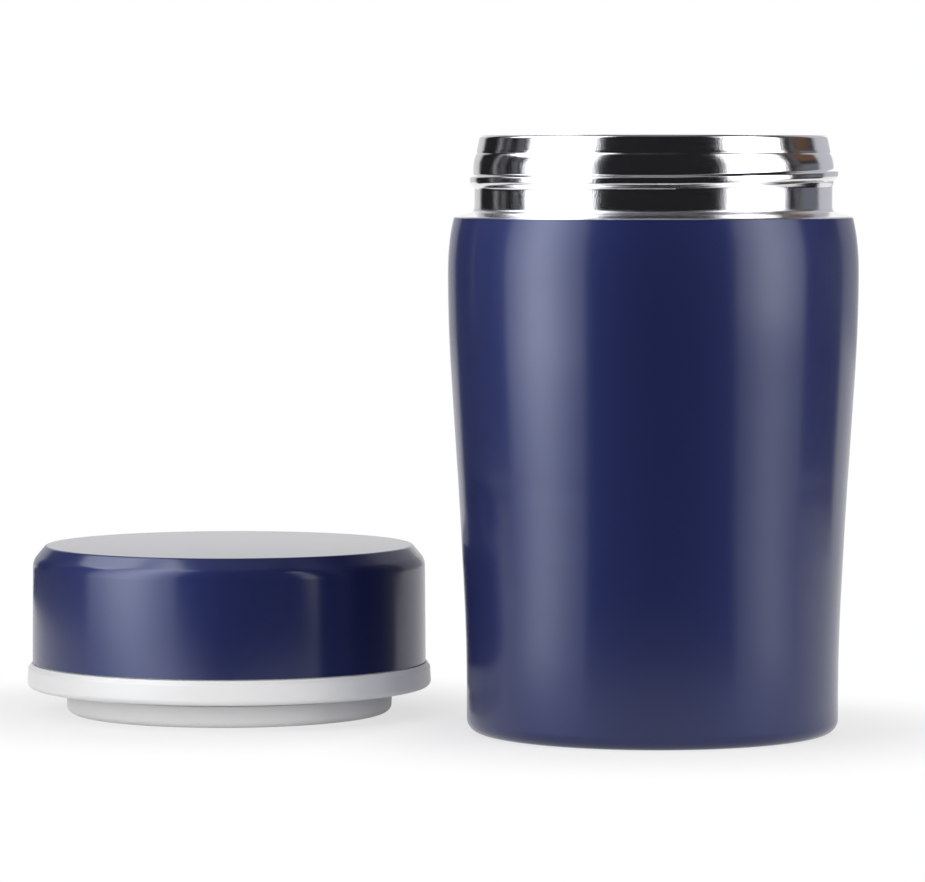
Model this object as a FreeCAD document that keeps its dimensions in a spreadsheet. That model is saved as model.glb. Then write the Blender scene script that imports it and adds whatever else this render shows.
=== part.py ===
import FreeCAD, Part

import math
import os
import re

import Sketcher

# An insulated food jar with a screw-on insulated lid, which is off and stands beside it, plug down.
# The jar's axis is Z and it stands on Z = 0. Lengths are in millimetres and angles in degrees.
# Angles about an axis start at the front, which looks along -Y, and grow towards +X.

# Driving dimensions: radii are set in from the belly's, and heights are rises from the stretch below

SIZES = {
    # Steel sheet
    "body_wall": 0.5,
    "neck_wall": 0.5,
    "liner_wall": 0.4,
    "bottom_wall": 0.6,
    "cover_wall": 0.5,
    # Body: a foot, a flared wall with a soft waist, and a rolled shoulder
    "belly_radius": 47.5,
    "foot_inset": 4.4,
    "foot_round": 3.0,
    "rim_width": 4.1,
    "waist_height": 20.0,
    "waist_run": 11.5,
    "flare_inset": 2.9,
    "flare_rise": 30.0,
    "flare_run": 8.0,
    "belly_rise": 45.0,
    "belly_run": 11.8,
    "shoulder_rise": 18.0,
    "shoulder_run": 5.5,
    "seam_inset": 1.35,
    "seam_rise": 6.1,
    # Neck: a sloping ledge, a straight thread band, a barrelled band and a tapered lip band
    "ledge_edge_inset": 0.2,
    "ledge_edge_rise": 0.65,
    "ledge_edge_round": 0.6,
    "ledge_width": 4.45,
    "ledge_rise": 1.2,
    "neck_round": 0.6,
    "thread_band_rise": 9.45,
    "barrel_swell": 0.3,
    "barrel_rise": 0.7,
    "barrel_round": 0.3,
    "groove_depth": 0.65,
    "groove_rise": 3.1,
    "lip_band_inset": 0.15,
    "lip_band_rise": 0.3,
    "lip_taper": 0.65,
    "lip_rise": 3.5,
    "lip_round": 0.5,
    "lip_inner_round": 0.3,
    "weld_land": 1.6,
    # Thread of the neck: one rolled ridge with a level start and a rising run
    "ridge_proud": 1.05,
    "ridge_width": 2.7,
    "ridge_rise": 6.7,
    "ridge_lead": 6.6,
    "ridge_begin_angle": -165.0,
    "ridge_climb_angle": -5.0,
    "ridge_end_angle": 160.0,
    "ridge_fade_angle": 30.0,
    "ridge_root_depth": 0.3,
    "ridge_step_angle": 15.0,
    # Inner vessel
    "mouth_depth": 21.6,
    "seat_width": 1.65,
    "seat_depth": 2.8,
    "vessel_round": 7.0,
    "vessel_floor_height": 10.8,
    "vessel_weld_rise": 8.4,
    # Getter pellet under the vessel's floor
    "getter_radius": 6.0,
    "getter_thickness": 1.5,
    # Outer bottom with the dimple and the evacuation hole, and its glass seal
    "bottom_height": 4.0,
    "bottom_skirt_height": 0.2,
    "bottom_round": 1.2,
    "dimple_radius": 5.0,
    "dimple_depth": 1.2,
    "dimple_slope": 1.0,
    "evacuation_radius": 1.0,
    "seal_radius": 4.0,
    "seal_thickness": 1.1,
    "seal_round": 0.7,
    # Base cover, pressed into the outer bottom's skirt
    "base_rim_rise": 1.2,
    "base_wall": 0.5,
    "base_round": 0.7,
    "base_clearance": 0.15,
    # Place of the lid's axis beside the jar
    "lid_side": -100.2,
    "lid_behind": 42.0,
    # How the lid sits on the jar when it is on
    "ledge_clearance": 0.2,
    "roof_clearance": 0.75,
    "skirt_clearance": 1.8,
    "plug_clearance": 0.55,
    "seat_overlap": 1.45,
    # Lid collar: flange, threaded skirt and the roof of the recess
    "skirt_wall": 2.0,
    "skirt_round": 0.6,
    "roof_wall": 1.8,
    "flange_width": 5.25,
    "flange_round": 1.3,
    "flange_draft": 0.25,
    "flange_rise": 4.7,
    "flange_top_round": 0.5,
    "flange_chamfer": 0.8,
    "flange_chamfer_rise": 1.1,
    "cover_band_rise": 5.0,
    "cover_fit": 0.05,
    "cover_gap": 0.25,
    # Lid cover
    "cover_inset": 1.3,
    "cover_draft": 0.15,
    "cover_round": 2.2,
    "cover_shoulder_drop": 4.8,
    "cover_shoulder_width": 3.15,
    "cover_top_round": 0.9,
    "headroom": 14.6,
    # Thread of the lid: one ridge inside the skirt, under the neck's ridge when the lid is on
    "lid_ridge_overlap": 0.4,
    "lid_ridge_width": 1.9,
    "lid_ridge_drop": 2.4,
    "lid_ridge_begin_angle": -115.0,
    "lid_ridge_end_angle": 150.0,
    # Plug cup
    "plug_wall": 1.6,
    "cup_floor_height": 1.6,
    "cup_lip_inset": 0.9,
    "cup_lip_thickness": 1.2,
    "cup_groove_depth": 1.7,
    "cup_groove_rise": 2.5,
    "cup_step_rise": 1.7,
    "cup_round": 1.0,
    # Seal ring round the plug's foot
    "seal_ring_clearance": 0.25,
    "seal_ring_taper": 0.3,
    "seal_ring_foot_width": 2.45,
    "seal_ring_foot_round": 1.8,
    "seal_ring_edge_round": 0.3,
    "seal_ring_fit": 0.05,
    # Foam puck
    "foam_clearance": 0.3,
    "foam_side_clearance": 1.6,
    "foam_round": 3.0,
}

# Radii and heights that follow from them

FOOT_RADIUS = "(belly_radius - foot_inset)"
RIM_RADIUS = f"({FOOT_RADIUS} - rim_width)"
FLARE_RADIUS = "(belly_radius - flare_inset)"
SEAM_RADIUS = "(belly_radius - seam_inset)"
LEDGE_EDGE_RADIUS = f"({SEAM_RADIUS} - ledge_edge_inset)"
NECK_RADIUS = f"({LEDGE_EDGE_RADIUS} - ledge_width)"
BARREL_RADIUS = f"({NECK_RADIUS} + barrel_swell)"
GROOVE_RADIUS = f"({BARREL_RADIUS} - groove_depth)"
LIP_BAND_RADIUS = f"({GROOVE_RADIUS} - lip_band_inset)"
LIP_RADIUS = f"({LIP_BAND_RADIUS} - lip_taper)"
MOUTH_RADIUS = f"({LIP_RADIUS} - neck_wall - liner_wall)"
VESSEL_RADIUS = f"({MOUTH_RADIUS} - seat_width)"
CREST_RADIUS = f"({NECK_RADIUS} + ridge_proud)"

FLARE_HEIGHT = "(waist_height + flare_rise)"
BELLY_HEIGHT = f"({FLARE_HEIGHT} + belly_rise)"
SHOULDER_HEIGHT = f"({BELLY_HEIGHT} + shoulder_rise)"
SEAM_HEIGHT = f"({SHOULDER_HEIGHT} + seam_rise)"
LEDGE_EDGE_HEIGHT = f"({SEAM_HEIGHT} + ledge_edge_rise)"
NECK_HEIGHT = f"({LEDGE_EDGE_HEIGHT} + ledge_rise)"
BARREL_FOOT_HEIGHT = f"({NECK_HEIGHT} + thread_band_rise)"
BARREL_HEIGHT = f"({BARREL_FOOT_HEIGHT} + barrel_rise)"
GROOVE_HEIGHT = f"({BARREL_HEIGHT} + groove_rise)"
LIP_BAND_HEIGHT = f"({GROOVE_HEIGHT} + lip_band_rise)"
LIP_HEIGHT = f"({LIP_BAND_HEIGHT} + lip_rise)"
SEAT_TOP_HEIGHT = f"({LIP_HEIGHT} - mouth_depth)"
SEAT_BOTTOM_HEIGHT = f"({SEAT_TOP_HEIGHT} - seat_depth)"
VESSEL_WELD_HEIGHT = "(vessel_floor_height + vessel_weld_rise)"
BOTTOM_TOP_HEIGHT = "(bottom_height + bottom_wall)"
DIMPLE_ROOF_HEIGHT = "(bottom_height + dimple_depth)"
BASE_HEIGHT = "(bottom_height - bottom_round - base_rim_rise)"

# The lid's heights start at its plug's foot, and CLOSED_RISE lifts that onto the seat when the lid is on

CLOSED_RISE = f"({SEAT_TOP_HEIGHT} - seat_overlap)"
FLANGE_FOOT_HEIGHT = f"({NECK_HEIGHT} + ledge_clearance - {CLOSED_RISE})"
FLANGE_TOP_HEIGHT = f"({FLANGE_FOOT_HEIGHT} + flange_rise)"
FLANGE_EDGE_HEIGHT = f"({FLANGE_TOP_HEIGHT} + flange_chamfer_rise)"
ROOF_HEIGHT = f"({LIP_HEIGHT} + roof_clearance - {CLOSED_RISE})"
ROOF_TOP_HEIGHT = f"({ROOF_HEIGHT} + roof_wall)"
LID_HEIGHT = f"({ROOF_TOP_HEIGHT} + headroom)"
COVER_SHOULDER_HEIGHT = f"({LID_HEIGHT} - cover_shoulder_drop)"
SKIRT_RADIUS = f"({NECK_RADIUS} + skirt_clearance)"
FLANGE_RADIUS = f"({SKIRT_RADIUS} + flange_width)"
COVER_FOOT_RADIUS = f"({FLANGE_RADIUS} - cover_inset)"
COVER_WALL_RADIUS = f"({COVER_FOOT_RADIUS} - cover_draft)"
COVER_TOP_RADIUS = f"({COVER_WALL_RADIUS} - cover_shoulder_width)"
PLUG_RADIUS = f"({MOUTH_RADIUS} - plug_clearance)"
CUP_LIP_RADIUS = f"({PLUG_RADIUS} - cup_lip_inset)"
CUP_GROOVE_RADIUS = f"({PLUG_RADIUS} - cup_groove_depth)"
CUP_LIP_HEIGHT = "(cup_floor_height + cup_lip_thickness)"
CUP_GROOVE_HEIGHT = f"({CUP_LIP_HEIGHT} + cup_groove_rise)"
CUP_BORE_RADIUS = f"({CUP_GROOVE_RADIUS} - plug_wall)"
CUP_INSIDE_HEIGHT = "(cup_floor_height + plug_wall)"
CUP_STEP_HEIGHT = f"({CUP_GROOVE_HEIGHT} + cup_step_rise)"

doc = FreeCAD.newDocument("InsulatedFoodJar")
sheet = doc.addObject("Spreadsheet::Sheet", "Sizes")
for row, (alias, number) in enumerate(SIZES.items(), start=1):
    sheet.set(f"A{row}", alias)
    sheet.set(f"B{row}", str(number))
    sheet.setAlias(f"B{row}", alias)
doc.recompute()


def bound(text):
    """An expression over the sheet's cells, from one written with their bare names."""
    return re.sub(r"[a-z_]\w+", lambda name: "Sizes." + name.group(0), text)


def size(text):
    """The number that such an expression gives."""
    return float(sheet.evalExpression(bound(text)))


# Half sections

def fix_point(sketch, geometry, end, radius, height, name):
    """Hold a point of a sketch at a radius and a height, each an expression over the sheet."""
    for kind, axis, text in (("DistanceX", -2, radius), ("DistanceY", -1, height)):
        if text == "0":
            sketch.addConstraint(Sketcher.Constraint("PointOnObject", geometry, end, axis))
            continue
        index = sketch.addConstraint(
            Sketcher.Constraint(kind, -1, 1, geometry, end, size(text)))
        sketch.renameConstraint(index, f"{name}_{kind}")
        sketch.setExpression(f"Constraints.{name}_{kind}", bound(text))


def arc_between(before, corner, after, rounding):
    """Start point, end point, arc and turn of the round at a corner."""
    ahead = (after - corner).normalize()
    back = (before - corner).normalize()
    half = ahead.getAngle(back) / 2
    kind, text = rounding
    run = size(text) if kind == "run" else size(text) / math.tan(half)
    radius = run * math.tan(half)
    start = corner + back * run
    end = corner + ahead * run
    centre = corner + (ahead + back).normalize() * (radius / math.sin(half))
    left = (corner - before).cross(after - corner).z > 0
    first, last = (start, end) if left else (end, start)
    angles = [math.atan2(point.y - centre.y, point.x - centre.x) for point in (first, last)]
    circle = Part.Circle(centre, FreeCAD.Vector(0, 0, 1), radius)
    return start, end, Part.ArcOfCircle(circle, angles[0], angles[1]), left


def draw_section(sketch, corners):
    """Draw a closed outline through corners, each (radius, height) and, where it is rounded, its rounding.

    A rounded corner keeps its sharp point as a construction point, which both of its lines run through.
    """
    points = [FreeCAD.Vector(size(corner[0]), size(corner[1]), 0) for corner in corners]
    count = len(corners)
    starts, ends, arcs = list(points), list(points), {}
    for i, corner in enumerate(corners):
        if len(corner) == 3:
            after = points[(i + 1) % count]
            starts[i], ends[i], arc, left = arc_between(points[i - 1], points[i], after, corner[2])
            arcs[i] = (arc, left)
    lines = [
        sketch.addGeometry(Part.LineSegment(ends[i], starts[(i + 1) % count]), False)
        for i in range(count)
    ]
    for i, corner in enumerate(corners):
        incoming, outgoing = lines[i - 1], lines[i]
        name = f"corner{i}"
        if i not in arcs:
            sketch.addConstraint(Sketcher.Constraint("Coincident", incoming, 2, outgoing, 1))
            fix_point(sketch, outgoing, 1, corner[0], corner[1], name)
            continue
        arc, left = arcs[i]
        bend = sketch.addGeometry(arc, False)
        sharp = sketch.addGeometry(Part.Point(points[i]), True)
        near, far = (1, 2) if left else (2, 1)
        sketch.addConstraint(Sketcher.Constraint("Tangent", incoming, 2, bend, near))
        sketch.addConstraint(Sketcher.Constraint("Tangent", bend, far, outgoing, 1))
        fix_point(sketch, sharp, 1, corner[0], corner[1], name)
        sketch.addConstraint(Sketcher.Constraint("PointOnObject", sharp, 1, incoming))
        sketch.addConstraint(Sketcher.Constraint("PointOnObject", sharp, 1, outgoing))
        kind, text = corner[2]
        if kind == "run":
            limit = Sketcher.Constraint("Distance", sharp, 1, bend, near, size(text))
        else:
            limit = Sketcher.Constraint("Radius", bend, size(text))
        index = sketch.addConstraint(limit)
        sketch.renameConstraint(index, f"{name}_{kind}")
        sketch.setExpression(f"Constraints.{name}_{kind}", bound(text))


def revolved_body(label, corners):
    """A body turned about its own Z axis from a half section."""
    body = doc.addObject("PartDesign::Body", label)
    sketch = body.newObject("Sketcher::SketchObject", label + "_section")
    plane = next(f for f in body.Origin.OriginFeatures if f.Role == "XZ_Plane")
    sketch.AttachmentSupport = [(plane, "")]
    sketch.MapMode = "FlatFace"
    draw_section(sketch, corners)
    turned = body.newObject("PartDesign::Revolution", label + "_turned")
    turned.Profile = sketch
    turned.ReferenceAxis = (sketch, ["V_Axis"])
    turned.Angle = 360
    doc.recompute()
    return body


def rounded(text):
    return ("round", text)


def blended(text):
    return ("run", text)


# Thread ridges

def around(radius, angle, height):
    """The point at a radius, an angle from the front and a height."""
    turn = math.radians(angle - 90)
    return FreeCAD.Vector(radius * math.cos(turn), radius * math.sin(turn), height)


def ridge_shape(root_radius, crest_radius, width, begin, end, height_at):
    """A ridge that follows height_at(angle) round the axis and fades into the wall at both ends.

    Its round section rises from the root radius to the crest radius, inwards or outwards, and its
    back is sunk into the wall.
    """
    outwards = 1 if crest_radius > root_radius else -1
    root_depth = size("ridge_root_depth")
    back_radius = root_radius - outwards * root_depth
    faded_radius = root_radius - outwards * root_depth / 2
    fade = size("ridge_fade_angle")
    steps = round((end - begin) / size("ridge_step_angle"))
    sections = []
    for step in range(steps + 1):
        angle = begin + (end - begin) * step / steps
        share = min(1.0, (angle - begin) / fade, (end - angle) / fade)
        swell = math.sin(share * math.pi / 2) ** 2
        top_radius = faded_radius + (crest_radius - faded_radius) * swell
        level = height_at(angle)
        low = around(back_radius, angle, level - width / 2)
        top = around(top_radius, angle, level)
        high = around(back_radius, angle, level + width / 2)
        edges = [Part.Arc(low, top, high).toShape(), Part.LineSegment(high, low).toShape()]
        sections.append(Part.Wire(edges))
    return Part.makeLoft(sections, True, False)


def with_ridge(label, body, ridge):
    """The body fused with its thread ridge."""
    rolled = doc.addObject("Part::Feature", label + "_ridge")
    rolled.Shape = ridge
    joined = doc.addObject("Part::Fuse", label)
    joined.Base = body
    joined.Tool = rolled
    return joined


def neck_ridge_height(angle):
    """The neck's ridge runs level up to the climb angle and climbs by the lead from there."""
    climb = max(0.0, angle - size("ridge_climb_angle"))
    return size(f"{NECK_HEIGHT} + ridge_rise") + size("ridge_lead") * climb / 360


def lid_ridge_height(angle):
    """The lid's ridge keeps under the climbing run of the neck's ridge when the lid is on."""
    under = size(f"{NECK_HEIGHT} + ridge_rise - lid_ridge_drop - {CLOSED_RISE}")
    return under + size("ridge_lead") * (angle - size("ridge_climb_angle")) / 360


# Body shell: the painted outer tube, down to the standing rim

def make_body_shell():
    return revolved_body("body_shell", [
        (RIM_RADIUS, "0"),
        (FOOT_RADIUS, "0", rounded("foot_round")),
        (FOOT_RADIUS, "waist_height", blended("waist_run")),
        (FLARE_RADIUS, FLARE_HEIGHT, blended("flare_run")),
        ("belly_radius", BELLY_HEIGHT, blended("belly_run")),
        ("belly_radius", SHOULDER_HEIGHT, blended("shoulder_run")),
        (SEAM_RADIUS, SEAM_HEIGHT),
        (f"{SEAM_RADIUS} - body_wall", SEAM_HEIGHT),
        ("belly_radius - body_wall", SHOULDER_HEIGHT, blended("shoulder_run")),
        ("belly_radius - body_wall", BELLY_HEIGHT, blended("belly_run")),
        (f"{FLARE_RADIUS} - body_wall", FLARE_HEIGHT, blended("flare_run")),
        (f"{FOOT_RADIUS} - body_wall", "waist_height", blended("waist_run")),
        (f"{FOOT_RADIUS} - body_wall", "body_wall", rounded("foot_round - body_wall")),
        (RIM_RADIUS, "body_wall"),
    ])


# Neck ring: the polished shoulder and mouth, with the rolled thread

def make_neck_ring():
    neck = revolved_body("neck", [
        (SEAM_RADIUS, SEAM_HEIGHT),
        (LEDGE_EDGE_RADIUS, LEDGE_EDGE_HEIGHT, rounded("ledge_edge_round")),
        (NECK_RADIUS, NECK_HEIGHT, rounded("neck_round")),
        (NECK_RADIUS, BARREL_FOOT_HEIGHT),
        (BARREL_RADIUS, BARREL_HEIGHT, rounded("barrel_round")),
        (GROOVE_RADIUS, GROOVE_HEIGHT),
        (LIP_BAND_RADIUS, LIP_BAND_HEIGHT),
        (LIP_RADIUS, LIP_HEIGHT, rounded("lip_round")),
        (f"{LIP_RADIUS} - neck_wall", LIP_HEIGHT),
        (f"{LIP_RADIUS} - neck_wall", f"{LIP_HEIGHT} - weld_land"),
        (f"{NECK_RADIUS} - neck_wall", BARREL_FOOT_HEIGHT),
        (f"{NECK_RADIUS} - neck_wall", f"{NECK_HEIGHT} - neck_wall"),
        (f"{LEDGE_EDGE_RADIUS} - neck_wall", f"{LEDGE_EDGE_HEIGHT} - neck_wall"),
        (f"{SEAM_RADIUS} - body_wall", SEAM_HEIGHT),
    ])
    ridge = ridge_shape(
        size(NECK_RADIUS), size(CREST_RADIUS), size("ridge_width"),
        size("ridge_begin_angle"), size("ridge_end_angle"), neck_ridge_height)
    return with_ridge("neck_ring", neck, ridge)


# Inner liner: the mouth, the plug's seat and the wall of the vessel

def make_inner_liner():
    return revolved_body("inner_liner", [
        (f"{MOUTH_RADIUS} + liner_wall", LIP_HEIGHT),
        (MOUTH_RADIUS, LIP_HEIGHT, rounded("lip_inner_round")),
        (MOUTH_RADIUS, SEAT_TOP_HEIGHT),
        (VESSEL_RADIUS, SEAT_BOTTOM_HEIGHT),
        (VESSEL_RADIUS, VESSEL_WELD_HEIGHT),
        (f"{VESSEL_RADIUS} + liner_wall", VESSEL_WELD_HEIGHT),
        (f"{VESSEL_RADIUS} + liner_wall", f"{SEAT_BOTTOM_HEIGHT} - liner_wall / 2"),
        (f"{MOUTH_RADIUS} + liner_wall", f"{SEAT_TOP_HEIGHT} - liner_wall / 2"),
    ])


# Liner bottom: the pressed floor of the vessel

def make_liner_bottom():
    return revolved_body("liner_bottom", [
        ("0", "vessel_floor_height"),
        (VESSEL_RADIUS, "vessel_floor_height", rounded("vessel_round")),
        (VESSEL_RADIUS, VESSEL_WELD_HEIGHT),
        (f"{VESSEL_RADIUS} + liner_wall", VESSEL_WELD_HEIGHT),
        (f"{VESSEL_RADIUS} + liner_wall", "vessel_floor_height - liner_wall",
         rounded("vessel_round + liner_wall")),
        ("0", "vessel_floor_height - liner_wall"),
    ])


def make_getter():
    underside = "vessel_floor_height - liner_wall"
    return revolved_body("getter", [
        ("0", f"{underside} - getter_thickness"),
        ("getter_radius", f"{underside} - getter_thickness"),
        ("getter_radius", underside),
        ("0", underside),
    ])


# Outer bottom: closes the vacuum jacket, with a dimple round the evacuation hole

def make_outer_bottom():
    return revolved_body("outer_bottom", [
        (RIM_RADIUS, "bottom_skirt_height"),
        (RIM_RADIUS, BOTTOM_TOP_HEIGHT, rounded("bottom_round + bottom_wall")),
        ("dimple_radius + dimple_slope + bottom_wall", BOTTOM_TOP_HEIGHT),
        ("dimple_radius + bottom_wall", f"{DIMPLE_ROOF_HEIGHT} + bottom_wall"),
        ("evacuation_radius", f"{DIMPLE_ROOF_HEIGHT} + bottom_wall"),
        ("evacuation_radius", DIMPLE_ROOF_HEIGHT),
        ("dimple_radius", DIMPLE_ROOF_HEIGHT),
        ("dimple_radius + dimple_slope", "bottom_height"),
        (f"{RIM_RADIUS} - bottom_wall", "bottom_height", rounded("bottom_round")),
        (f"{RIM_RADIUS} - bottom_wall", "bottom_skirt_height"),
    ])


def make_vacuum_seal():
    return revolved_body("vacuum_seal", [
        ("0", f"{DIMPLE_ROOF_HEIGHT} - seal_thickness"),
        ("seal_radius", f"{DIMPLE_ROOF_HEIGHT} - seal_thickness", rounded("seal_round")),
        ("seal_radius", DIMPLE_ROOF_HEIGHT),
        ("0", DIMPLE_ROOF_HEIGHT),
    ])


def make_base_cover():
    edge = f"{RIM_RADIUS} - bottom_wall - base_clearance"
    return revolved_body("base_cover", [
        ("0", BASE_HEIGHT),
        (edge, BASE_HEIGHT, rounded("base_round")),
        (edge, f"{BASE_HEIGHT} + base_rim_rise"),
        (f"{edge} - base_wall", f"{BASE_HEIGHT} + base_rim_rise"),
        (f"{edge} - base_wall", f"{BASE_HEIGHT} + base_wall", rounded("base_round - base_wall")),
        ("0", f"{BASE_HEIGHT} + base_wall"),
    ])


# Lid cover: the painted cap

def make_lid_cover():
    edge_height = f"{FLANGE_EDGE_HEIGHT} + cover_gap"
    return revolved_body("lid_cover", [
        (COVER_FOOT_RADIUS, edge_height),
        (COVER_WALL_RADIUS, COVER_SHOULDER_HEIGHT, rounded("cover_round")),
        (COVER_TOP_RADIUS, LID_HEIGHT, rounded("cover_top_round")),
        ("0", LID_HEIGHT),
        ("0", f"{LID_HEIGHT} - cover_wall"),
        (f"{COVER_TOP_RADIUS} - cover_wall / 2", f"{LID_HEIGHT} - cover_wall"),
        (f"{COVER_WALL_RADIUS} - cover_wall", COVER_SHOULDER_HEIGHT,
         rounded("cover_round - cover_wall")),
        (f"{COVER_FOOT_RADIUS} - cover_wall", edge_height),
    ])


# Lid collar: the flange, the skirt with its thread and the roof over the jar's lip

def make_lid_collar():
    cover_inner = f"{COVER_FOOT_RADIUS} - cover_wall - cover_fit"
    collar = revolved_body("collar", [
        (SKIRT_RADIUS, FLANGE_FOOT_HEIGHT, rounded("skirt_round")),
        (FLANGE_RADIUS, FLANGE_FOOT_HEIGHT, rounded("flange_round")),
        (f"{FLANGE_RADIUS} - flange_draft", FLANGE_TOP_HEIGHT, rounded("flange_top_round")),
        (f"{FLANGE_RADIUS} - flange_draft - flange_chamfer", FLANGE_EDGE_HEIGHT),
        (cover_inner, FLANGE_EDGE_HEIGHT),
        (f"{cover_inner} - cover_fit", f"{FLANGE_EDGE_HEIGHT} + cover_band_rise"),
        (f"{SKIRT_RADIUS} + skirt_wall",
         f"{FLANGE_EDGE_HEIGHT} + cover_band_rise + skirt_wall / 2"),
        (f"{SKIRT_RADIUS} + skirt_wall", ROOF_TOP_HEIGHT),
        (f"{PLUG_RADIUS} - plug_wall", ROOF_TOP_HEIGHT),
        (f"{PLUG_RADIUS} - plug_wall", ROOF_HEIGHT),
        (SKIRT_RADIUS, ROOF_HEIGHT),
    ])
    ridge = ridge_shape(
        size(SKIRT_RADIUS), size(f"{CREST_RADIUS} - lid_ridge_overlap"), size("lid_ridge_width"),
        size("lid_ridge_begin_angle"), size("lid_ridge_end_angle"), lid_ridge_height)
    return with_ridge("lid_collar", collar, ridge)


# Plug cup: hangs from the collar's roof and carries the seal ring

def make_plug_cup():
    return revolved_body("plug_cup", [
        ("0", "cup_floor_height"),
        (CUP_LIP_RADIUS, "cup_floor_height"),
        (CUP_LIP_RADIUS, CUP_LIP_HEIGHT),
        (CUP_GROOVE_RADIUS, CUP_LIP_HEIGHT),
        (CUP_GROOVE_RADIUS, CUP_GROOVE_HEIGHT),
        (PLUG_RADIUS, CUP_GROOVE_HEIGHT),
        (PLUG_RADIUS, ROOF_HEIGHT),
        (f"{PLUG_RADIUS} - plug_wall", ROOF_HEIGHT),
        (f"{PLUG_RADIUS} - plug_wall", f"{CUP_STEP_HEIGHT} + cup_groove_depth"),
        (CUP_BORE_RADIUS, CUP_STEP_HEIGHT),
        (CUP_BORE_RADIUS, CUP_INSIDE_HEIGHT, rounded("cup_round")),
        ("0", CUP_INSIDE_HEIGHT),
    ])


def make_seal_ring():
    outer = f"{MOUTH_RADIUS} - seal_ring_clearance"
    inner = f"{outer} - seal_ring_taper - seal_ring_foot_width"
    top = f"{CUP_GROOVE_HEIGHT} - seal_ring_fit"
    return revolved_body("seal_ring", [
        (inner, "0", rounded("seal_ring_edge_round")),
        (f"{outer} - seal_ring_taper", "0", rounded("seal_ring_foot_round")),
        (outer, top, rounded("seal_ring_edge_round")),
        (f"{CUP_GROOVE_RADIUS} + seal_ring_fit", top),
        (f"{CUP_GROOVE_RADIUS} + seal_ring_fit", f"{CUP_LIP_HEIGHT} + seal_ring_fit"),
        (f"{CUP_LIP_RADIUS} + seal_ring_fit", f"{CUP_LIP_HEIGHT} + seal_ring_fit"),
        (f"{CUP_LIP_RADIUS} + seal_ring_fit", "cup_floor_height - seal_ring_fit"),
        (inner, "cup_floor_height - seal_ring_fit"),
    ])


# Foam puck: fills the plug and the space under the cover, and lies loose in them

def make_lid_foam():
    stem = f"{CUP_BORE_RADIUS} - foam_clearance"
    cap = f"{COVER_WALL_RADIUS} - cover_wall - foam_side_clearance"
    return revolved_body("lid_foam", [
        ("0", f"{CUP_INSIDE_HEIGHT} + foam_clearance"),
        (stem, f"{CUP_INSIDE_HEIGHT} + foam_clearance", rounded("cup_round")),
        (stem, f"{ROOF_TOP_HEIGHT} + foam_clearance"),
        (cap, f"{ROOF_TOP_HEIGHT} + foam_clearance"),
        (cap, f"{LID_HEIGHT} - cover_wall - foam_clearance", blended("foam_round")),
        ("0", f"{LID_HEIGHT} - cover_wall - foam_clearance"),
    ])


# Assembly

jar_pieces = [
    make_body_shell(),
    make_neck_ring(),
    make_inner_liner(),
    make_liner_bottom(),
    make_getter(),
    make_outer_bottom(),
    make_vacuum_seal(),
    make_base_cover(),
]
lid_pieces = [
    make_lid_cover(),
    make_lid_collar(),
    make_plug_cup(),
    make_seal_ring(),
    make_lid_foam(),
]
for piece in lid_pieces:
    piece.setExpression("Placement.Base.x", bound("lid_side"))
    piece.setExpression("Placement.Base.y", bound("lid_behind"))
doc.recompute()

# Checks, then one file for each piece

for item in doc.Objects:
    if "Invalid" in item.State or "Error" in item.State:
        raise RuntimeError(f"{item.Label} failed to build")
for piece in jar_pieces + lid_pieces:
    if piece.Shape.isNull() or not piece.Shape.isValid() or len(piece.Shape.Solids) != 1:
        raise RuntimeError(f"{piece.Label} is not one valid solid")
os.makedirs("parts", exist_ok=True)
for piece in jar_pieces + lid_pieces:
    piece.Shape.exportStep(f"parts/{piece.Label}.step")
    print(piece.Label, round(piece.Shape.Volume), "mm3")
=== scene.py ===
import math

import bmesh
import bpy
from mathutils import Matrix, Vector


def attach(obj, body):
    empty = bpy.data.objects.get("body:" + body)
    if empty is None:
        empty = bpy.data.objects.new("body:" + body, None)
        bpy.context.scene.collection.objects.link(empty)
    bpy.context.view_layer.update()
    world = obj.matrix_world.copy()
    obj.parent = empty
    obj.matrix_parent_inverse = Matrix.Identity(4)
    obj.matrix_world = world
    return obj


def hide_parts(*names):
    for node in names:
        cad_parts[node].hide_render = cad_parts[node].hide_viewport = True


# An insulated food jar, its screw-on lid standing beside it, in a plain pale studio.
# Profiles are (radius, height) pairs in millimetres about the piece's own vertical axis.
# An angle round a piece starts at -Y, a bearing in the studio starts at the camera's side.
# Both are in degrees and grow towards +X.

MM = 0.001
PER_METRE = 1000.0
TURNS = 384
SHARP_ANGLE = 32.0
ARC_STEPS = 6
TINY = 1e-6
JAR_AXIS = (0.0, 0.0, 0.0)
LID_AXIS = (-0.1002, 0.042, 0.0)
AXES = {"jar": JAR_AXIS, "lid": LID_AXIS}

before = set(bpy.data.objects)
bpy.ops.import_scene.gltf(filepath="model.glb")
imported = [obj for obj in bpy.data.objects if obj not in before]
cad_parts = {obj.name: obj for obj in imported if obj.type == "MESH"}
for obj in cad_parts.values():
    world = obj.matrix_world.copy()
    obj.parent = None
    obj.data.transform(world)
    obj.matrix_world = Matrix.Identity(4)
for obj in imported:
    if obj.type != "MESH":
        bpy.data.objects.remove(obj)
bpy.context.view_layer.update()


# Profiles

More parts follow.
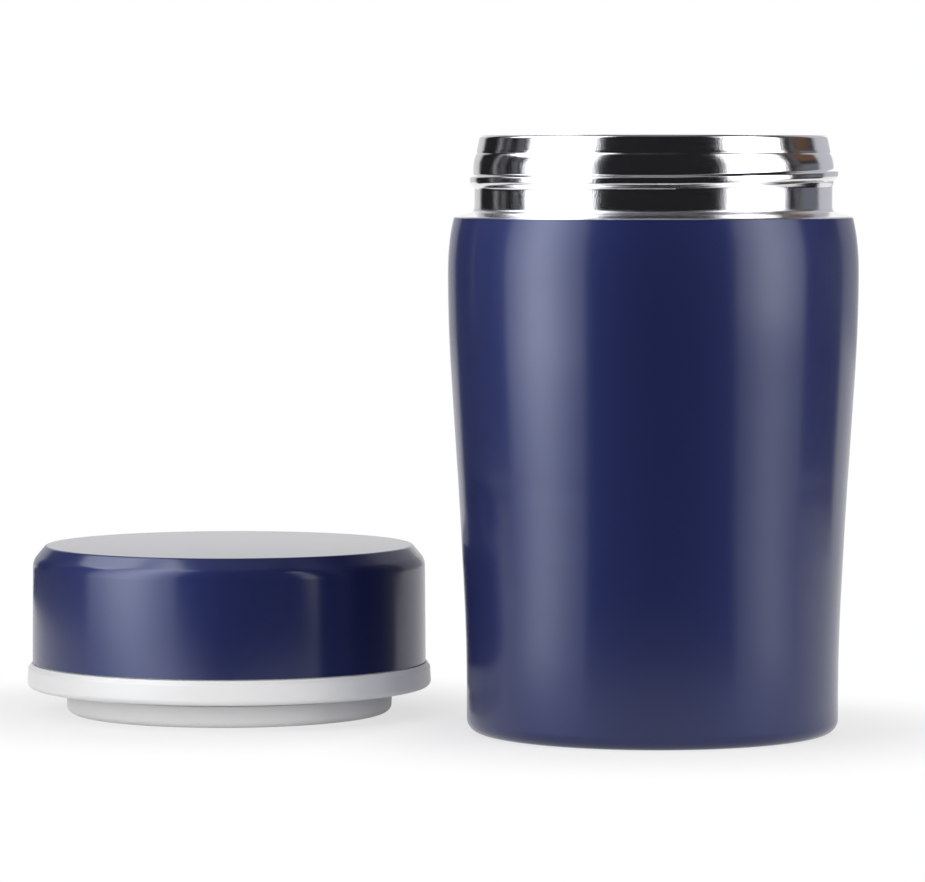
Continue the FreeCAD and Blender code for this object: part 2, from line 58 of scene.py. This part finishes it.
def fillet(before, corner, after, kind, amount, steps):
    """Points of the arc that rounds a corner. The amount is its radius or its tangent's run."""
    back = (Vector(before) - Vector(corner)).normalized()
    ahead = (Vector(after) - Vector(corner)).normalized()
    half = back.angle(ahead) / 2
    run = amount if kind == "run" else amount / math.tan(half)
    radius = run * math.tan(half)
    centre = Vector(corner) + (back + ahead).normalized() * radius / math.sin(half)
    first = Vector(corner) + back * run - centre
    last = Vector(corner) + ahead * run - centre
    sweep = first.angle_signed(last)
    points = []
    for step in range(steps + 1):
        angle = -sweep * step / steps
        turned_on = Vector((
            first.x * math.cos(angle) - first.y * math.sin(angle),
            first.x * math.sin(angle) + first.y * math.cos(angle)))
        points.append(tuple(centre + turned_on))
    return points


def outline(corners, closed=True):
    """Points through corners: (radius, height) or (radius, height, kind, amount[, steps])."""
    points = []
    count = len(corners)
    for i, (radius, height, *rounding) in enumerate(corners):
        inner = closed or 0 < i < count - 1
        if rounding and inner:
            kind, amount, steps = (*rounding, ARC_STEPS)[:3]
            before, after = corners[i - 1][:2], corners[(i + 1) % count][:2]
            points += fillet(before, (radius, height), after, kind, amount, steps)
        else:
            points.append((radius, height))
    return points


def resampled(points, step):
    """The same path with no stretch longer than the step."""
    dense = [points[0]]
    for a, b in zip(points, points[1:]):
        parts = max(1, math.ceil(math.dist(a, b) / step))
        dense += [tuple(Vector(a).lerp(Vector(b), k / parts)) for k in range(1, parts + 1)]
    return dense


def smoothed(points, low, high, reach):
    """The path with its radii averaged over a reach of height, between two heights."""
    result = []
    for radius, height in points:
        if low < height < high:
            span = min(reach, height - low, high - height)
            near = [(r, math.cos(math.pi / 2 * (h - height) / span) ** 2)
                    for r, h in points if abs(h - height) < span]
            radius = sum(r * weight for r, weight in near) / sum(weight for _, weight in near)
        result.append((radius, height))
    return result


# Meshes

def lathe(name, profile, axis, relief=None):
    """A smooth mesh turned from a closed profile. relief(angle, radius, height) adds to it."""
    work = bmesh.new()
    rings = []
    for radius, height in profile:
        if radius < TINY:
            rings.append([work.verts.new((0, 0, height * MM))])
            continue
        ring = []
        for k in range(TURNS):
            turn = 2 * math.pi * k / TURNS
            angle = math.degrees(turn)
            if angle > 180:
                angle -= 360
            reach = radius + (relief(angle, radius, height) if relief else 0)
            ring.append(work.verts.new((
                reach * MM * math.sin(turn), -reach * MM * math.cos(turn), height * MM)))
        rings.append(ring)
    for low, high in zip(rings, rings[1:] + rings[:1]):
        if len(low) == len(high) == 1:
            continue
        for k in range(TURNS):
            n = (k + 1) % TURNS
            if len(low) == 1:
                work.faces.new((low[0], high[n], high[k]))
            elif len(high) == 1:
                work.faces.new((low[k], low[n], high[0]))
            else:
                work.faces.new((low[k], low[n], high[n], high[k]))
    bmesh.ops.recalc_face_normals(work, faces=work.faces)
    for face in work.faces:
        face.smooth = True
    mesh = bpy.data.meshes.new(name)
    work.to_mesh(mesh)
    work.free()
    mesh.set_sharp_from_angle(angle=math.radians(SHARP_ANGLE))
    piece = bpy.data.objects.new(name, mesh)
    piece.location = axis
    bpy.context.collection.objects.link(piece)
    return piece


def turned(name, profile, node, body, slot, relief=None):
    """Turn a piece that stands for a node, rides on its body and takes the slot's finish."""
    piece = lathe(name, profile, AXES[body], relief)
    piece.data.materials.append(FINISHES[slot])
    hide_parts(node)
    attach(piece, body)


# Nodes

def fill(tree, node, inputs):
    """Give a node's sockets their values, or the outputs that feed them."""
    for socket, value in inputs.items():
        if isinstance(value, bpy.types.NodeSocket):
            tree.links.new(value, node.inputs[socket])
        else:
            node.inputs[socket].default_value = value
    return node


def add(tree, kind, inputs, **settings):
    """A new node with its settings and its sockets filled."""
    node = tree.nodes.new("ShaderNode" + kind)
    for key, value in settings.items():
        setattr(node, key, value)
    return fill(tree, node, inputs)


def node_material(name):
    """A material with a bare shader: the material, its tree and the shader."""
    material = bpy.data.materials.new(name)
    material.use_nodes = True
    tree = material.node_tree
    tree.nodes.clear()
    shader = add(tree, "BsdfPrincipled", {})
    add(tree, "OutputMaterial", {"Surface": shader.outputs["BSDF"]})
    return material, tree, shader


def surface(name, recipe):
    """A material whose shader takes the values that recipe(tree) gives."""
    material, tree, shader = node_material(name)
    fill(tree, shader, recipe(tree))
    return material


def place(tree):
    """The piece's own coordinates, in metres."""
    return add(tree, "TexCoord", {}).outputs["Object"]


def noise(tree, vector, scale, detail, roughness):
    return add(tree, "TexNoise", {
        "Vector": vector, "Scale": scale, "Detail": detail, "Roughness": roughness}).outputs["Fac"]


def grain(tree, scale, detail=3.0):
    """Noise over the piece's own coordinates."""
    return noise(tree, place(tree), scale, detail, roughness=0.5)


def turning_marks(tree, angle_scale, scale):
    """Noise drawn out round the piece's axis, as a lathe or a polishing wheel leaves it."""
    split = add(tree, "SeparateXYZ", {0: place(tree)}).outputs
    angle = add(tree, "Math", {0: split["Y"], 1: split["X"]}, operation="ARCTAN2").outputs[0]
    flat = add(tree, "CombineXYZ", {"X": split["X"], "Y": split["Y"]}).outputs[0]
    radius = add(tree, "VectorMath", {0: flat}, operation="LENGTH").outputs["Value"]
    joined = add(tree, "CombineXYZ", {"X": angle, "Y": split["Z"], "Z": radius}).outputs[0]
    scaled = add(tree, "VectorMath", {0: joined, 1: (angle_scale, PER_METRE, PER_METRE)},
                 operation="MULTIPLY").outputs[0]
    return noise(tree, scaled, scale, detail=4.0, roughness=0.6)


def spread(tree, value, low, high):
    """The noise value mapped to a range."""
    return add(tree, "MapRange", {
        "Value": value, "From Min": 0.3, "From Max": 0.7,
        "To Min": low, "To Max": high}).outputs["Result"]


def tint(tree, value, first, second):
    """A colour that drifts between two with the noise value."""
    return add(tree, "Mix", {"Factor": value, "A": (*first, 1), "B": (*second, 1)},
               data_type="RGBA").outputs["Result"]


def bump(tree, height, strength, distance):
    """A slight relief that a height gives, for a shader's normal."""
    return add(tree, "Bump", {
        "Height": height, "Strength": strength, "Distance": distance}).outputs["Normal"]


# Finishes

def navy_paint(tree):
    """A dark blue base with a broad blue sheen, under a clear satin coat."""
    return {
        "Base Color": tint(tree, grain(tree, 28.0),
                           (0.0070, 0.0078, 0.036), (0.0080, 0.0089, 0.042)),
        "Roughness": spread(tree, grain(tree, 160.0), 0.60, 0.64),
        "Normal": bump(tree, grain(tree, 2600.0, 2.0), strength=0.015, distance=0.00004),
        "IOR": 1.5,
        "Specular IOR Level": 0.72,
        "Specular Tint": (0.14, 0.28, 1.0, 1),
        "Coat Weight": 0.8,
        "Coat Roughness": 0.17,
        "Coat IOR": 1.5,
    }


def polished_steel(tree):
    """Polished metal with fine turning marks, rougher on the ledge at the neck's foot."""
    lines = turning_marks(tree, 1.2, 9.0)
    height = add(tree, "SeparateXYZ", {0: place(tree)}).outputs["Z"]
    ledge = add(tree, "MapRange", {
        "Value": height, "From Min": 0.1209, "From Max": 0.1216, "To Min": 0.14, "To Max": 0.0},
        interpolation_type="SMOOTHSTEP").outputs["Result"]
    return {
        "Metallic": 1.0,
        "Base Color": tint(tree, lines, (0.70, 0.69, 0.71), (0.80, 0.79, 0.80)),
        "Roughness": add(tree, "Math", {0: spread(tree, lines, 0.07, 0.12), 1: ledge},
                         operation="ADD").outputs[0],
        "Normal": bump(tree, grain(tree, 3600.0, 2.0), strength=0.5, distance=0.00003),
    }


def brushed_inside(tree):
    lines = turning_marks(tree, 2.0, 6.0)
    return {
        "Metallic": 1.0,
        "Base Color": tint(tree, lines, (0.58, 0.575, 0.57), (0.70, 0.695, 0.69)),
        "Roughness": spread(tree, lines, 0.24, 0.38),
        "Normal": bump(tree, lines, strength=0.25, distance=0.00004),
    }


def white_plastic(tree):
    return {
        "Base Color": tint(tree, grain(tree, 60.0), (0.765, 0.765, 0.765), (0.805, 0.805, 0.80)),
        "Roughness": spread(tree, grain(tree, 240.0), 0.34, 0.42),
        "Normal": bump(tree, grain(tree, 3200.0, 2.0), strength=0.05, distance=0.00003),
    }


def silicone(tree):
    return {
        "Base Color": tint(tree, grain(tree, 90.0), (0.86, 0.86, 0.86), (0.90, 0.90, 0.895)),
        "Roughness": spread(tree, grain(tree, 400.0), 0.5, 0.6),
        "Subsurface Weight": 0.1,
        "Subsurface Radius": (0.002, 0.002, 0.002),
    }


def foam(tree):
    cells = grain(tree, 700.0)
    return {
        "Base Color": tint(tree, cells, (0.78, 0.75, 0.66), (0.90, 0.88, 0.80)),
        "Roughness": 0.9,
        "Normal": bump(tree, cells, strength=0.6, distance=0.0004),
    }


def glass_bead(tree):
    cloud = grain(tree, 500.0)
    return {
        "Base Color": tint(tree, cloud, (0.10, 0.12, 0.10), (0.16, 0.18, 0.15)),
        "Roughness": spread(tree, cloud, 0.05, 0.12),
        "Coat Weight": 0.5,
    }


def getter_metal(tree):
    crumbs = grain(tree, 1800.0)
    return {
        "Metallic": 1.0,
        "Base Color": tint(tree, crumbs, (0.16, 0.155, 0.15), (0.30, 0.29, 0.28)),
        "Roughness": spread(tree, crumbs, 0.55, 0.75),
    }


FINISHES = {recipe.__name__: surface(recipe.__name__, recipe) for recipe in (
    navy_paint, polished_steel, brushed_inside, white_plastic, silicone)}

# Jar

BODY_WALL = 0.5
BODY_FOOT = 43.1
BODY_SEAM = (46.15, 119.1)
BODY_BENDS = [(BODY_FOOT, 20.0, 11.5), (44.6, 50.0, 8.0), (47.5, 95.0, 11.8), (47.5, 113.0, 5.5)]
BODY_STEP = 0.5

body_outside = outline(
    [(39.0, 0.0), (BODY_FOOT, 0.0, "round", 3.0, 12)]
    + [(radius, height, "run", run, 24) for radius, height, run in BODY_BENDS]
    + [BODY_SEAM], closed=False)
body_outside = smoothed(resampled(body_outside, BODY_STEP), low=4.0, high=117.5, reach=5.0)
body_inside = [(radius - BODY_WALL, height) for radius, height, *_ in (
    BODY_SEAM, *reversed(BODY_BENDS), (BODY_FOOT, 3.0), (42.2, 1.2))]
body_inside += [(40.1, BODY_WALL), (39.0, BODY_WALL)]
turned("jar_body", body_outside + body_inside, "body_shell", "jar", "navy_paint")

RIDGE_LEVEL = 128.0
RIDGE_LEAD = 6.6
RIDGE_FROM = 41.2
RIDGE_SPAN = (124.0, 134.0)
CREST_TOP, CREST_MIDDLE, CREST_FOOT = 0.3, -0.1, -0.5
CREST_SWELL = 0.015
FLANK_ABOVE = 0.85
FLANK_BELOW = 1.6
LEVEL_RISE = 0.80
LEVEL_RUN = (-165.0, 30.0, 8.0, 18.0)
CLIMB_START = 5.0
CLIMB_RUN = (-9.0, 3.0, 160.0, 30.0)
CLIMB_RISE, CLIMB_GROWTH, CLIMB_GROWN_AT = 0.78, 0.26, 90.0
FLANK_TIGHTENING, FLANK_TIGHT_AT = 0.4, 60.0


def swell(share):
    """A smooth step from 0 to 1."""
    share = min(1.0, max(0.0, share))
    return share * share * (3 - 2 * share)


def run_between(angle, first, run_in, last, run_out):
    """1 between two angles, with a smooth run in and a smooth run out inside them."""
    return swell((angle - first) / run_in) * swell((last - angle) / run_out)


def ridge(offset, below):
    """The section of the rolled ridge: a short flank above, an upright crest, a long one below."""
    if offset > CREST_TOP:
        return 1 - swell((offset - CREST_TOP) / FLANK_ABOVE)
    if offset > CREST_FOOT:
        return 1 + CREST_SWELL * (1 - ((offset - CREST_MIDDLE) / (CREST_TOP - CREST_MIDDLE)) ** 2)
    return 1 - min(1.0, (CREST_FOOT - offset) / below) ** 2


def neck_relief(angle, radius, height):
    """The rolled thread: a level run on the left and a climbing run that starts beside its end."""
    if radius < RIDGE_FROM or not RIDGE_SPAN[0] < height < RIDGE_SPAN[1]:
        return 0.0
    level = LEVEL_RISE * ridge(height - RIDGE_LEVEL, FLANK_BELOW)
    level *= run_between(angle, *LEVEL_RUN)
    crest = RIDGE_LEVEL + RIDGE_LEAD * max(0.0, angle - CLIMB_START) / 360
    below = FLANK_BELOW - FLANK_TIGHTENING * swell(angle / FLANK_TIGHT_AT)
    climb = CLIMB_RISE + CLIMB_GROWTH * swell(angle / CLIMB_GROWN_AT)
    climb *= ridge(height - crest, below) * run_between(angle, *CLIMB_RUN)
    return max(level, climb)


LIP = (39.85, 138.0)
RIDGE_STEP = 0.12
RIDGE_STEP_FROM = 123.0
neck_outside = outline([
    BODY_SEAM,
    (45.9, 119.4, "round", 0.6, 8),
    (41.47, 120.5, "round", 1.0, 10),
    (41.47, 126.2, "round", 1.5, 8),
    (41.74, 127.2, "round", 1.5, 8),
    (41.74, 132.15, "round", 8.8, 18),
    (41.19, 133.6, "round", 0.5, 4),
    (40.95, 133.95, "round", 0.2, 4),
    (40.98, 134.5, "round", 0.2, 4),
    (40.25, 138.0, "round", 0.8, 10),
    LIP,
], closed=False)
neck_outside = [point for part in zip(neck_outside, neck_outside[1:])
                for point in resampled(
                    part, RIDGE_STEP if part[0][1] > RIDGE_STEP_FROM else BODY_STEP)[:-1]]
neck_inside = [LIP, (39.85, 136.4), (41.0, 130.4), (41.0, 120.45), (45.45, 119.25), (45.65, 119.1)]
turned("jar_neck", neck_outside + neck_inside, "neck_ring", "jar", "polished_steel", neck_relief)

liner = outline([
    LIP,
    (39.45, 138.0, "round", 0.3, 5),
    (39.45, 116.4, "round", 1.5),
    (37.8, 113.6, "round", 1.5),
    (37.8, 19.2),
    (38.2, 19.2),
    (38.2, 113.4),
    (39.85, 116.2),
])
turned("vessel_wall", liner, "inner_liner", "jar", "brushed_inside")

vessel_bottom = outline([
    (0.0, 10.8),
    (37.8, 10.8, "round", 7.0, 16),
    (37.8, 19.2),
    (38.2, 19.2),
    (38.2, 10.4, "round", 7.4, 16),
    (0.0, 10.4),
])
turned("vessel_bottom", vessel_bottom, "liner_bottom", "jar", "brushed_inside")

outer_bottom = outline([
    (39.0, 0.2),
    (39.0, 4.6, "round", 1.8, 8),
    (6.6, 4.6),
    (5.6, 5.8),
    (1.0, 5.8),
    (1.0, 5.2),
    (5.0, 5.2),
    (6.0, 4.0),
    (38.4, 4.0, "round", 1.2, 8),
    (38.4, 0.2),
])
turned("bottom_pan", outer_bottom, "outer_bottom", "jar", "brushed_inside")

base_cover = outline([
    (0.0, 1.6),
    (38.25, 1.6, "round", 0.7),
    (38.25, 2.8),
    (37.75, 2.8),
    (37.75, 2.1, "round", 0.2, 4),
    (0.0, 2.1),
])
turned("bottom_disc", base_cover, "base_cover", "jar", "brushed_inside")

# Lid

cover = outline([
    (47.25, 12.25),
    (47.08, 36.6, "round", 4.2, 18),
    (44.05, 40.2, "round", 0.9, 10),
    (0.0, 40.2),
    (0.0, 39.7),
    (43.82, 39.7),
    (46.58, 36.42, "round", 3.7, 10),
    (46.75, 12.25),
])
turned("lid_cap", cover, "lid_cover", "lid", "navy_paint")

SKIRT = 43.3
SKIRT_MARGIN = 0.1
SKIRT_RIDGE_LEVEL = 10.3
SKIRT_RIDGE_RISE = 1.15
SKIRT_RIDGE_REACH = 1.1
SKIRT_RIDGE_START = -5.0
SKIRT_RUN = (-115.0, 30.0, 150.0, 30.0)


def bead(offset, reach):
    """The round section of a moulded ridge, 0 to 1, over its reach either side of the crest."""
    return (1 - (offset / reach) ** 2) ** 2 if abs(offset) < reach else 0.0


def skirt_relief(angle, radius, height):
    """The ridge inside the skirt, which runs under the neck's when the lid is on."""
    if not SKIRT - SKIRT_MARGIN < radius < SKIRT + SKIRT_MARGIN:
        return 0.0
    middle = SKIRT_RIDGE_LEVEL + RIDGE_LEAD * (angle - SKIRT_RIDGE_START) / 360
    section = bead(height - middle, SKIRT_RIDGE_REACH)
    return -SKIRT_RIDGE_RISE * section * run_between(angle, *SKIRT_RUN)


COLLAR_STEP = 0.25
collar = outline([
    (SKIRT, 6.2, "round", 0.6),
    (48.55, 6.2, "round", 1.3, 10),
    (48.3, 10.9, "round", 0.5),
    (47.5, 12.0),
    (46.7, 12.0),
    (46.65, 17.0),
    (45.3, 18.0),
    (45.3, 25.6),
    (37.3, 25.6),
    (37.3, 23.8),
    (SKIRT, 23.8),
])
collar = resampled(collar + collar[:1], COLLAR_STEP)[:-1]
turned("lid_collar_ring", collar, "lid_collar", "lid", "white_plastic", skirt_relief)

cup = outline([
    (0.0, 1.6),
    (38.0, 1.6),
    (38.0, 2.8),
    (37.2, 2.8),
    (37.2, 5.3),
    (38.9, 5.3, "round", 0.15, 3),
    (38.9, 23.8),
    (37.3, 23.8),
    (37.3, 8.7),
    (35.6, 7.0),
    (35.6, 3.2, "round", 1.0, 5),
    (0.0, 3.2),
])
turned("lid_plug", cup, "plug_cup", "lid", "white_plastic")

ring = outline([
    (36.45, 0.0, "round", 0.3, 5),
    (38.9, 0.0, "round", 1.8, 10),
    (39.2, 5.25, "round", 0.3, 5),
    (37.25, 5.25),
    (37.25, 2.85),
    (38.05, 2.85),
    (38.05, 1.55),
    (36.45, 1.55),
])
turned("lid_seal", ring, "seal_ring", "lid", "silicone")

# These three lie inside, keep the solids' own meshes and only take a finish.
for node, recipe in (("lid_foam", foam), ("vacuum_seal", glass_bead), ("getter", getter_metal)):
    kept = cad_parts[node]
    kept.data.materials.clear()
    kept.data.materials.append(surface(recipe.__name__, recipe))

# Studio

CAMERA_PLACE = Vector((-0.0441, -1.160, 0.131))
CAMERA_PITCH = 3.14
CAMERA_LENS = 195.0
SENSOR_WIDTH = 36.0

camera_data = bpy.data.cameras.new("camera")
camera_data.lens = CAMERA_LENS
camera_data.sensor_width = SENSOR_WIDTH
camera = bpy.data.objects.new("camera", camera_data)
camera.location = CAMERA_PLACE
camera.rotation_euler = (math.radians(90 - CAMERA_PITCH), 0, 0)
bpy.context.collection.objects.link(camera)
bpy.context.scene.camera = camera


def ring_point(bearing, radius, height):
    """A point round the jar, in metres."""
    turn = math.radians(bearing) + math.atan2(CAMERA_PLACE.x, -CAMERA_PLACE.y)
    return Vector((radius * math.sin(turn), -radius * math.cos(turn), height))


def softbox(name, bearing, radius, width, height, middle, radiance):
    """A soft lamp that faces the jar. The radiance of a white page in full light is 1."""
    data = bpy.data.lights.new(name, "AREA")
    data.shape = "RECTANGLE"
    data.size, data.size_y = width, height
    data.energy = radiance * math.pi * width * height
    lamp = bpy.data.objects.new(name, data)
    lamp.location = ring_point(bearing, radius, middle)
    aim = ring_point(0, 0, middle) - lamp.location
    lamp.rotation_euler = aim.to_track_quat("-Z", "Y").to_euler()
    lamp.visible_camera = False
    lamp.visible_glossy = False
    bpy.context.collection.objects.link(lamp)


def brightness(levels, bearing):
    """The level at a bearing, smooth between the (bearing, level) pairs on either side of it."""
    for (low, dim), (high, bright) in zip(levels, levels[1:]):
        if bearing <= high + TINY:
            return dim + (bright - dim) * swell((bearing - low) / (high - low))
    return levels[-1][1]


CARD_STEPS = 48


def card(name, first, last, start, end, colour, levels=None):
    """A plain card round the jar between two bearings, from start to end (radius, height).

    levels gives (bearing, level) pairs where its brightness isn't even. Only reflections see the
    card, so it stays out of every view and blocks no light.
    """
    bearings = [first + (last - first) * k / CARD_STEPS for k in range(CARD_STEPS + 1)]
    corners = [ring_point(bearing, *edge) for bearing in bearings for edge in (start, end)]
    faces = [(2 * k, 2 * k + 2, 2 * k + 3, 2 * k + 1) for k in range(CARD_STEPS)]
    mesh = bpy.data.meshes.new(name)
    mesh.from_pydata(corners, [], faces)
    material, tree, shader = node_material(name)
    glow = 1.0
    if levels:
        share = mesh.attributes.new("glow", "FLOAT", "POINT")
        for k in range(len(corners)):
            share.data[k].value = brightness(levels, bearings[k // 2])
        glow = add(tree, "Attribute", {}, attribute_name="glow").outputs["Fac"]
    fill(tree, shader, {
        "Base Color": (0, 0, 0, 1),
        "Specular IOR Level": 0.0,
        "Emission Color": (*colour, 1),
        "Emission Strength": glow,
    })
    material.cycles.emission_sampling = "NONE"
    mesh.materials.append(material)
    screen = bpy.data.objects.new(name, mesh)
    screen.visible_camera = False
    screen.visible_diffuse = False
    screen.visible_shadow = False
    bpy.context.collection.objects.link(screen)


# Bearings at which the cards meet, then radii and heights of the softbox faces and the cards.
LEFT_CORNER, LEFT_FIRST, LEFT_LAST = -145.6, -87.0, -36.8
RIGHT_FIRST, RIGHT_LAST, RIGHT_CORNER = 46.3, 92.0, 130.0
BACK_FIRST, BACK_LAST = 166.0, 194.0
WING_FIRST = -115.0
LEFT_RADIUS, LEFT_TOP, WING_FOOT = 0.55, 1.25, 0.36
RIGHT_RADIUS, RIGHT_TOP = 1.20, 1.58
CARD_RADIUS = CARD_TOP = 1.6
STRIPE_GAP = 0.02
NEAR_FLOOR, FAR_FLOOR = 0.16, 0.42
FLOOR_GAP = 0.0005

LEFT_LEVELS = [(LEFT_FIRST, 1.9), (-63.5, 5.8), (LEFT_LAST, 2.0)]
WING_LEVELS = [(WING_FIRST, 3.0), (LEFT_FIRST, 5.5)]
RIGHT_LEVELS = [(RIGHT_FIRST, 1.9), (68.0, 4.5), (RIGHT_LAST, 1.9)]
LEFT_WHITE = (0.98, 1.02, 1.08)
RIGHT_WHITE = (1.0, 1.02, 1.04)
LEFT_LOW = [0.55 * c for c in LEFT_WHITE]
RIGHT_LOW = [0.45 * c for c in RIGHT_WHITE]
BLACK = (0.017, 0.017, 0.019)
CEILING_GREY = (0.32, 0.32, 0.33)
CEILING_MIDDLE = 0.55

softbox("softbox_left", -62.5, LEFT_RADIUS, width=0.54, height=0.66, middle=0.34, radiance=1.65)
softbox("softbox_right", 69.0, RIGHT_RADIUS, width=1.02, height=1.20, middle=0.61, radiance=2.7)
softbox("softbox_front", 22.0, 1.50, width=0.90, height=0.90, middle=0.50, radiance=2.2)

# The faces of the two large softboxes, and their light on the floor.
card("softbox_left_face", LEFT_FIRST, LEFT_LAST, (LEFT_RADIUS, 0.0), (LEFT_RADIUS, LEFT_TOP),
     LEFT_WHITE, LEFT_LEVELS)
card("softbox_left_wing", WING_FIRST, LEFT_FIRST, (LEFT_RADIUS, WING_FOOT),
     (LEFT_RADIUS, LEFT_TOP), LEFT_WHITE, WING_LEVELS)
card("softbox_left_below", LEFT_FIRST, LEFT_LAST, (NEAR_FLOOR, FLOOR_GAP),
     (LEFT_RADIUS, FLOOR_GAP), LEFT_LOW, LEFT_LEVELS)
card("softbox_right_face", RIGHT_FIRST, RIGHT_LAST, (RIGHT_RADIUS, 0.0),
     (RIGHT_RADIUS, RIGHT_TOP), RIGHT_WHITE, RIGHT_LEVELS)
card("softbox_right_below", RIGHT_FIRST, RIGHT_LAST, (NEAR_FLOOR, FLOOR_GAP),
     (RIGHT_RADIUS, FLOOR_GAP), RIGHT_LOW, RIGHT_LEVELS)

# The dark cards between them and the paler stripes before these, by bearings and heights.
for name, first, last, low, high, colour in (
        ("card_front", LEFT_LAST, RIGHT_FIRST, 0.0, CARD_TOP, BLACK),
        ("card_front_edge", 43.3, 44.1, 0.0, 1.0, (0.4, 0.4, 0.4)),
        ("card_left", LEFT_CORNER, LEFT_FIRST, 0.0, CARD_TOP, BLACK),
        ("card_left_line", -120.5, -118.5, 0.0, 1.0, (0.6, 0.6, 0.62)),
        ("card_left_middle", -111.0, -109.5, 0.0, 1.0, (0.35, 0.35, 0.37)),
        ("card_left_near", -98.5, -96.0, 0.0, 1.0, (0.26, 0.26, 0.28)),
        ("card_left_back", -BACK_FIRST, LEFT_CORNER, 0.0, CARD_TOP, (0.72, 0.72, 0.74)),
        ("card_right", RIGHT_LAST, RIGHT_CORNER, 0.0, CARD_TOP, BLACK),
        ("card_right_line", 102.6, 103.8, 0.0, 1.4, (0.45, 0.45, 0.45)),
        ("card_right_brown", 107.0, 128.0, 0.46, 1.5, (0.15, 0.085, 0.052)),
        ("card_right_dark", 107.0, 128.0, 0.30, 0.46, (0.045, 0.043, 0.045)),
        ("card_right_grey", 107.0, 128.0, 0.0, 0.30, (0.16, 0.17, 0.20)),
        ("card_right_back", RIGHT_CORNER, BACK_FIRST, 0.0, CARD_TOP, (0.58, 0.59, 0.64)),
        ("card_back", BACK_FIRST, BACK_LAST, 0.0, CARD_TOP, (1.15, 1.15, 1.12))):
    radius = CARD_RADIUS if colour == BLACK else CARD_RADIUS - STRIPE_GAP
    card(name, first, last, (radius, low), (radius, high), colour)

# The ceiling, with a grey middle, and black cards lying on the floor from their inner radii:
# painted shade for the unlit floor, which only reflections show.
card("card_above", 0.0, 360.0, (CEILING_MIDDLE, CARD_TOP), (CARD_RADIUS, CARD_TOP), BLACK)
card("card_above_middle", 0.0, 360.0, (0.0, CARD_TOP), (CEILING_MIDDLE, CARD_TOP), CEILING_GREY)
for name, first, last, near in (("card_front_below", LEFT_LAST, RIGHT_FIRST, NEAR_FLOOR),
                                ("card_left_below", LEFT_CORNER, LEFT_FIRST, FAR_FLOOR),
                                ("card_right_below", RIGHT_LAST, RIGHT_CORNER, FAR_FLOOR)):
    card(name, first, last, (near, FLOOR_GAP), (CARD_RADIUS, FLOOR_GAP), BLACK)


def seen_rays(tree):
    """1 for rays from the camera and for rays in gloss and glass, else 0."""
    path = add(tree, "LightPath", {}).outputs
    seen = path["Is Camera Ray"]
    for kind in ("Is Glossy Ray", "Is Transmission Ray"):
        seen = add(tree, "Math", {0: seen, 1: path[kind]}, operation="MAXIMUM").outputs[0]
    return seen


FADE_FROM, FADE_TO = 0.045, 0.10
FADE_NEAR = 0.66


def pale_floor():
    """A matt floor that takes the object's shadow and turns into plain white away from it."""
    material, tree, shader = node_material("floor")
    fill(tree, shader, {"Roughness": 0.9, "Base Color": (0.86, 0.86, 0.86, 1)})
    from_jar, from_lid = (
        add(tree, "VectorMath", {0: place(tree), 1: axis}, operation="DISTANCE").outputs["Value"]
        for axis in (JAR_AXIS, LID_AXIS))
    nearest = add(tree, "Math", {0: from_jar, 1: from_lid}, operation="MINIMUM").outputs[0]
    fade = add(tree, "MapRange", {
        "Value": nearest, "From Min": FADE_FROM, "From Max": FADE_TO, "To Min": FADE_NEAR},
        interpolation_type="SMOOTHSTEP").outputs["Result"]
    both = add(tree, "Math", {0: fade, 1: seen_rays(tree)}, operation="MULTIPLY").outputs[0]
    white = add(tree, "Emission", {}).outputs[0]
    mixed = add(tree, "MixShader", {"Fac": both, 1: shader.outputs["BSDF"], 2: white}).outputs[0]
    result = next(node for node in tree.nodes if node.type == "OUTPUT_MATERIAL")
    fill(tree, result, {"Surface": mixed})
    return material


FLOOR_REACH = 4.0
floor_mesh = bpy.data.meshes.new("floor")
floor_mesh.from_pydata(
    [(x * FLOOR_REACH, y * FLOOR_REACH, 0) for x, y in ((-1, -1), (1, -1), (1, 1), (-1, 1))],
    [], [(0, 1, 2, 3)])
floor_mesh.materials.append(pale_floor())
floor = bpy.data.objects.new("floor", floor_mesh)
bpy.context.collection.objects.link(floor)

AMBIENT = 0.42
world = bpy.data.worlds.new("studio")
bpy.context.scene.world = world
world.use_nodes = True
sky = world.node_tree
sky.nodes.clear()
level = add(sky, "MapRange", {
    "Value": seen_rays(sky), "To Min": AMBIENT, "To Max": 1.0}).outputs["Result"]
background = add(sky, "Background", {"Strength": level, "Color": (1, 1, 1, 1)}).outputs[0]
add(sky, "OutputWorld", {"Surface": background})

bpy.context.scene.view_settings.view_transform = "Standard"
